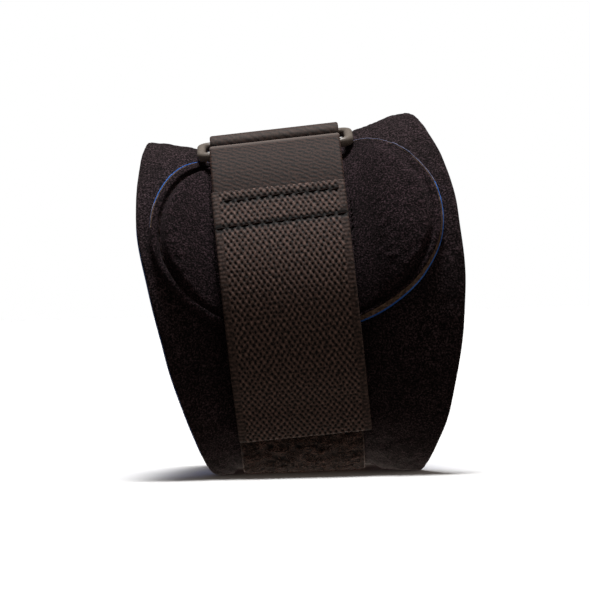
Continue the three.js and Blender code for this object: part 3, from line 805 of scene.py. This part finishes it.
tint = blend(twill, share, colour("#0f0908"), colour("#422e27"))
near_highlight, far_highlight = (near_crest, NEAR_CREST_HIGHLIGHT, NEAR_HIGHLIGHT_REACH), (far_crest, FAR_CREST_HIGHLIGHT, FAR_HIGHLIGHT_REACH)
crest_highlights = []
for crest, most, reach in (near_highlight, far_highlight):
    from_crest = maths(twill, "SUBTRACT", parts["Y"], crest)
    off_crest = maths(twill, "ABSOLUTE", from_crest)
    crest_highlights.append(spread(twill, off_crest, 0.0, reach, most, 0.0))
roughness_and_crest_highlight = maths(twill, "MAXIMUM", crest_highlights[0], crest_highlights[1])
# Painted highlight: the twill turns lighter towards each fold's crest
tint = blend(twill, roughness_and_crest_highlight, tint, colour("#867b75"))
bump = add(twill, "Bump", {"Height": woven, "Strength": 0.3, "Distance": 0.0001})
surface(
    twill,
    {
        "Base Color": tint,
        "Roughness": 0.7,
        "Specular IOR Level": 0.25,
        "Sheen Weight": 0.2,
        "Sheen Roughness": 0.35,
        "Sheen Tint": colour("#c89c8e"),
        "Normal": bump,
    },
)

strap = tape(
    "pile_tape",
    strap_middle,
    STRAP_WIDTH,
    STRAP_THICK,
    [(PILE_STEP, pile_relief), (TWILL_STEP, flat_relief)],
    [loop_pile, twill, twill],
)
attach(strap, "root")
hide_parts("pile_strap")

# Pile curls. The taller loops of that pile, which stand clear of it wherever the strap is bare; each
# filament is drawn four times too thick and as one of many, so that it shows.
CURLS = 3200
CURL_RADIUS = 0.085
CURL_SPAN, CURL_HEIGHT, CURL_SWAY = (0.7, 1.5), (0.25, 0.6), (-0.3, 0.3)
CURL_MARGIN, CURL_SINK = 0.9, 0.15  # from the strap's edge, and of its ends in the pile
CURLS_FROM, CURLS_TO = 121.0, 317.0  # degrees round the sleeve, past the flap and as far as the tab
CURL_LINE = np.linspace(0, 1, 6)
lines = []
for _ in range(CURLS):
    at, side = rng.uniform(CURLS_FROM, CURLS_TO), rng.uniform(-1, 1)
    heading = rng.uniform(0, 2 * math.pi)
    span, height, sway = (rng.uniform(*limits) for limits in (CURL_SPAN, CURL_HEIGHT, CURL_SWAY))
    step = span * (CURL_LINE - 0.5)
    bow = sway * np.sin(CURL_LINE * math.pi)
    centre = side * (strap_half(math.radians(at)) - CURL_MARGIN)
    across = centre + step * math.cos(heading) - bow * math.sin(heading)
    ahead = step * math.sin(heading) + bow * math.cos(heading)
    degrees = at + np.degrees(ahead / WAIST_RADIUS)
    arch = STRAP_THICK / 2 - CURL_SINK + height * np.sin(CURL_LINE * math.pi)
    lines.append(tape_point(degrees, across, around_layer(degrees) + arch))
# Nylon filament: brown and a little glossy.
FILAMENT_SHADE = 0.8
filament = new_material("nylon_filament")
place = add(filament, "TexCoord").outputs["Object"]
shade = add(filament, "TexNoise", {"Vector": place, "Scale": 1000 / FILAMENT_SHADE, "Detail": 1.0})
dark = spread(filament, shade, 0.45, 0.6)
tint = blend(filament, dark, colour("#0d0807"), colour("#7a5c52"))
surface(filament, {"Base Color": tint, "Roughness": 0.6, "Specular IOR Level": 0.25})
pile_curls = threads("pile_curls", lines, CURL_RADIUS, filament, sides=3)
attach(pile_curls, "root")

# Flap stitches. Two machine rows of the same black thread, behind the loop, which hold the strap's
# folded end to the sleeve.
FLAP_ROWS = (111.5, 116.5)
FLAP_STITCH, FLAP_STITCH_GAP, FLAP_MARGIN = 3.0, 0.6, 2.0
flap_half = STRAP_WIDTH / 2 - FLAP_MARGIN
lines = []
for at in FLAP_ROWS:
    height = float(flap_layer(at)) + STRAP_THICK / 2 + stitch_rise
    for start in np.arange(-flap_half, flap_half - FLAP_STITCH, FLAP_STITCH + FLAP_STITCH_GAP):
        lines.append(tape_point(at + 0 * STITCH_LINE, start + FLAP_STITCH * STITCH_LINE, height))
flap_seams = threads("flap_stitches", lines, THREAD, black_thread)
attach(flap_seams, "root")


# Hook tab. A coarse nylon hook tape, its hooks inwards on the pile, sewn over the strap's end by two
# rows of black thread. Its back is a basket of slanting floats with a hole between them, darkened by
# painted shade, and its selvedges are close and smooth.
TAB_WIDTH, TAB_THICK = 38.1, 1.4
TAB_TOP_AT, TAB_STEP_AT, TAB_DOWN_AT, TAB_END_AT = 39.0, 25.8, -44.0, -44.5
TAB_END_SLOPE = 0.04  # degrees for each millimetre across
TAB_ASIDE, TAB_SKEW = -0.21, 0.0168  # from the strap's centre line, and for each degree down
FLOAT_PITCH, FLOAT_ROW = 1.645, 1.235  # across the tape and along it
FLOAT_SLANT = 0.6  # share of the slanting ridges in the basket
FLOAT_WANDER, WANDER_BLUR = 0.065, 40  # share of a pitch that floats lie out of line, and its spread
FLOAT_HEIGHT, HOLE_DEPTH, HOLE_FROM = 0.08, 0.16, 0.35
SELVEDGE, SELVEDGE_RISE, SELVEDGE_RIB = 2.0, -0.03, 0.03
SELVEDGE_BLEND = (-0.6, 0.4)  # from the basket to the selvedge
TAB_ROWS, TAB_STEP, HOOK_STEP = 350, 0.2, 2.0
# The two rows of stitches: place across the tab and degrees round the sleeve, at the left and the right
TAB_SEAMS = [((-16.1, 35.65), (17.0, 36.3)), ((-18.9, 26.65), (18.9, 27.9))]
BACK_TACK = ((11.0, 36.0), (17.2, 36.1))
FURROW_DEPTH, FURROW_WIDTH, FURROW_END = 0.16, 1.0, 0.5


def tab_layer(degrees):
    on_strap = (STRAP_THICK + TAB_THICK) / 2 + GAP
    low, high = strap_layer(degrees), upper_layer(np.maximum(degrees, STRAP_END_AT))
    return on_strap + low + (high - low) * smooth(degrees, TAB_DOWN_AT, TAB_STEP_AT)


def tab_point(degrees, across, height):
    aside = TAB_ASIDE + TAB_SKEW * (TAB_TOP_AT - degrees)
    return tape_point(degrees, across + aside, tab_layer(degrees) + height)


tab_up = np.linspace(0, 1, TAB_ROWS)


def tab_middle(shares):
    across = shares[None, :] * TAB_WIDTH / 2
    end = TAB_END_AT + TAB_END_SLOPE * across
    return tab_point(end + (TAB_TOP_AT - end) * tab_up[:, None], across, 0)


tab_track = tab_middle(np.array([0.0]))[:, 0]
tab_length = np.concatenate([[0], np.cumsum(np.linalg.norm(np.diff(tab_track, axis=0), axis=1))])


def tab_relief(across, along):
    wander_down, wander_aside = (fuzz(*across.shape, WANDER_BLUR, False) for _ in range(2))
    down = (tab_length[-1] - along) / FLOAT_ROW + FLOAT_WANDER * wander_down
    over_pitch = across / FLOAT_PITCH + FLOAT_WANDER * wander_aside
    ridge, cross = (np.cos(2 * math.pi * (over_pitch + way * down / 2)) for way in (-1, 1))
    basket = FLOAT_SLANT * ridge + (1 - FLOAT_SLANT) * cross
    weave = FLOAT_HEIGHT * basket - HOLE_DEPTH * smooth(-basket, HOLE_FROM, 1.0)
    basket_half, selvedge_from = (TAB_WIDTH / 2 - SELVEDGE + blend_at for blend_at in SELVEDGE_BLEND)
    inside = 1 - smooth(np.abs(across), basket_half, selvedge_from)
    selvedge = SELVEDGE_RISE + SELVEDGE_RIB * np.cos(2 * math.pi * down)
    furrows = 0
    for (left_at, left_degrees), (right_at, right_degrees) in TAB_SEAMS:
        row = np.interp(across, [left_at, right_at], [left_degrees, right_degrees])
        end = TAB_END_AT + TAB_END_SLOPE * across
        off = along - np.interp((row - end) / (TAB_TOP_AT - end), tab_up, tab_length)
        begun = smooth(across, left_at - FURROW_END, left_at + FURROW_END)
        ended = smooth(across, right_at - FURROW_END, right_at + FURROW_END)
        furrows = furrows + begun * (1 - ended) * np.exp(-((off / FURROW_WIDTH) ** 2))
    return weave * inside + selvedge * (1 - inside) - FURROW_DEPTH * furrows


# Woven nylon: a painted highlight on the floats' tops, painted shade in the holes between them and in
# the stitch furrows.
TAB_FIBRE = 0.9
FLOAT_NARROW = 1.3  # narrows the painted highlight on the floats' tops
hook_back = new_material("woven_nylon_hook_tape")
tape_spot = add(hook_back, "Attribute", attribute_name="tape_mm").outputs["Vector"]
height_mm = add(hook_back, "SeparateXYZ", {0: tape_spot}).outputs["Z"]
fibre = add(
    hook_back,
    "TexNoise",
    {"Vector": tape_spot, "Scale": 1 / TAB_FIBRE, "Detail": 3.0, "Roughness": 0.6},
)
# Painted light from the relief's height: float tops lighter, holes and stitch furrows darker
lit = spread(hook_back, height_mm, -0.12, 0.09)
uneven = spread(hook_back, fibre, 0.35, 0.65, 0.1, 1.3)
raised = maths(hook_back, "POWER", lit, FLOAT_NARROW)
share = maths(hook_back, "MULTIPLY", raised, uneven)
tint = blend(hook_back, share, colour("#080504"), colour("#8a6f66"))
bump = add(hook_back, "Bump", {"Height": fibre, "Strength": 0.4, "Distance": 0.0002})
surface(
    hook_back,
    {
        "Base Color": tint,
        "Roughness": 0.65,
        "Specular IOR Level": 0.25,
        "Sheen Weight": 0.03,
        "Sheen Tint": colour("#c8bdb6"),
        "Normal": bump,
    },
)

tab = tape(
    "hook_tape",
    tab_middle,
    TAB_WIDTH,
    TAB_THICK,
    [(TAB_STEP, tab_relief), (HOOK_STEP, flat_relief)],
    [hook_back, twill, hook_back],
)
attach(tab, "root")
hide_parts("hook_tab")

# Tab stitches. Two machine rows of a thicker black thread, through the tab and the strap's end. The
# upper one is back-tacked at its right.
TAB_THREAD, TAB_STITCH, TAB_STITCH_GAP = 0.28, 3.2, 0.25
TAB_STITCH_SINK = 0.2
TAB_JITTER, TAB_TILT = 0.12, 0.3  # degrees by which a stitch lies off its row, and rises along it
lines = []
for (left_at, left_degrees), (right_at, right_degrees) in [*TAB_SEAMS, BACK_TACK]:
    for first in np.arange(left_at, right_at - TAB_STITCH / 2, TAB_STITCH + TAB_STITCH_GAP):
        across = np.minimum(first + TAB_STITCH * STITCH_LINE, right_at)
        row = np.interp(across, [left_at, right_at], [left_degrees, right_degrees])
        degrees = row + TAB_JITTER * rng.standard_normal() + TAB_TILT * (STITCH_LINE - 0.5)
        lines.append(tab_point(degrees, across, TAB_THICK / 2 - TAB_STITCH_SINK + stitch_rise))
tab_seams = threads("tab_stitches", lines, TAB_THREAD, black_thread)
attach(tab_seams, "root")


# Stage. A pale floor, an even soft light from straight overhead, a weak glow from all round and from
# the floor behind, and the camera at the photograph's angle.
from mathutils import Matrix

FLOOR_RADIUS, FLOOR_SIDES = 9.0, 96
floor_angles = np.linspace(0, 2 * math.pi, FLOOR_SIDES, endpoint=False)
floor_points = [(FLOOR_RADIUS * math.cos(a), FLOOR_RADIUS * math.sin(a), 0) for a in floor_angles]
paper = new_material("white_paper")
PAPER_COLOUR = (0.88, 0.88, 0.88, 1)
surface(paper, {"Base Color": PAPER_COLOUR, "Roughness": 0.9, "Specular IOR Level": 0.0})
floor = piece("floor", floor_points, [range(FLOOR_SIDES)], [paper])
floor.visible_diffuse = False  # so that only the lights below shine on the sleeve
floor.visible_glossy = False
floor.visible_shadow = False

OVERHEAD, OVERHEAD_NARROW = 97.0, 160.0  # strength, and how close to straight down it stays
BOUNCE, BOUNCE_NARROW = 3.6, 16.0  # light thrown up by the floor behind the sleeve
BOUNCE_FROM = (0.0, 0.77, -0.64)
GLOW, GLOW_ASIDE = 0.122, 0.6  # and how much more of it comes from the right
GLOW_COLOUR = (1.13, 0.98, 0.87, 1)
world = bpy.data.worlds.new("studio")
bpy.context.scene.world = world
world.use_nodes = True
world.node_tree.nodes.clear()
direction = add(world, "TexCoord").outputs["Generated"]
parts = add(world, "SeparateXYZ", {0: direction}).outputs
above = maths(world, "MAXIMUM", parts["Z"], 0.0)
overhead = maths(world, "POWER", above, OVERHEAD_NARROW)
facing = add(world, "VectorMath", {0: direction, 1: BOUNCE_FROM}, operation="DOT_PRODUCT")
behind = maths(world, "MAXIMUM", facing.outputs["Value"], 0.0)
bounce = maths(world, "POWER", behind, BOUNCE_NARROW)
even_glow = maths(world, "MULTIPLY_ADD", parts["X"], GLOW * GLOW_ASIDE, GLOW)
glow = maths(world, "MULTIPLY_ADD", bounce, BOUNCE, even_glow)
key = maths(world, "MULTIPLY", overhead, OVERHEAD)
lamps = add(world, "Background", {"Color": (1, 1, 1, 1), "Strength": key})
room = add(world, "Background", {"Color": GLOW_COLOUR, "Strength": glow})
lit = add(world, "AddShader", {0: lamps, 1: room})
white = add(world, "Background", {"Color": (1, 1, 1, 1), "Strength": 1.0})
seen = add(world, "LightPath").outputs["Is Camera Ray"]
shown = add(world, "MixShader", {0: seen, 1: lit, 2: white})
add(world, "OutputWorld", {"Surface": shown})

CAMERA_AT = (-1.75, -1100.0, 51.575)
CAMERA_ROLL = math.radians(-1.5)
VIEW_WIDTH = 590 / 3.4  # of the frame, at the sleeve's middle
SENSOR = 36
camera = bpy.data.objects.new("camera", bpy.data.cameras.new("camera"))
camera.data.sensor_width = SENSOR
camera.data.lens = SENSOR * -CAMERA_AT[1] / VIEW_WIDTH
camera.data.clip_end = 50
camera.location = [c / 1000 for c in CAMERA_AT]
level = Matrix.Rotation(math.pi / 2, 3, "X")
camera.rotation_euler = (level @ Matrix.Rotation(CAMERA_ROLL, 3, "Z")).to_euler()
bpy.context.scene.collection.objects.link(camera)
bpy.context.scene.camera = camera
bpy.context.scene.view_settings.view_transform = "Standard"
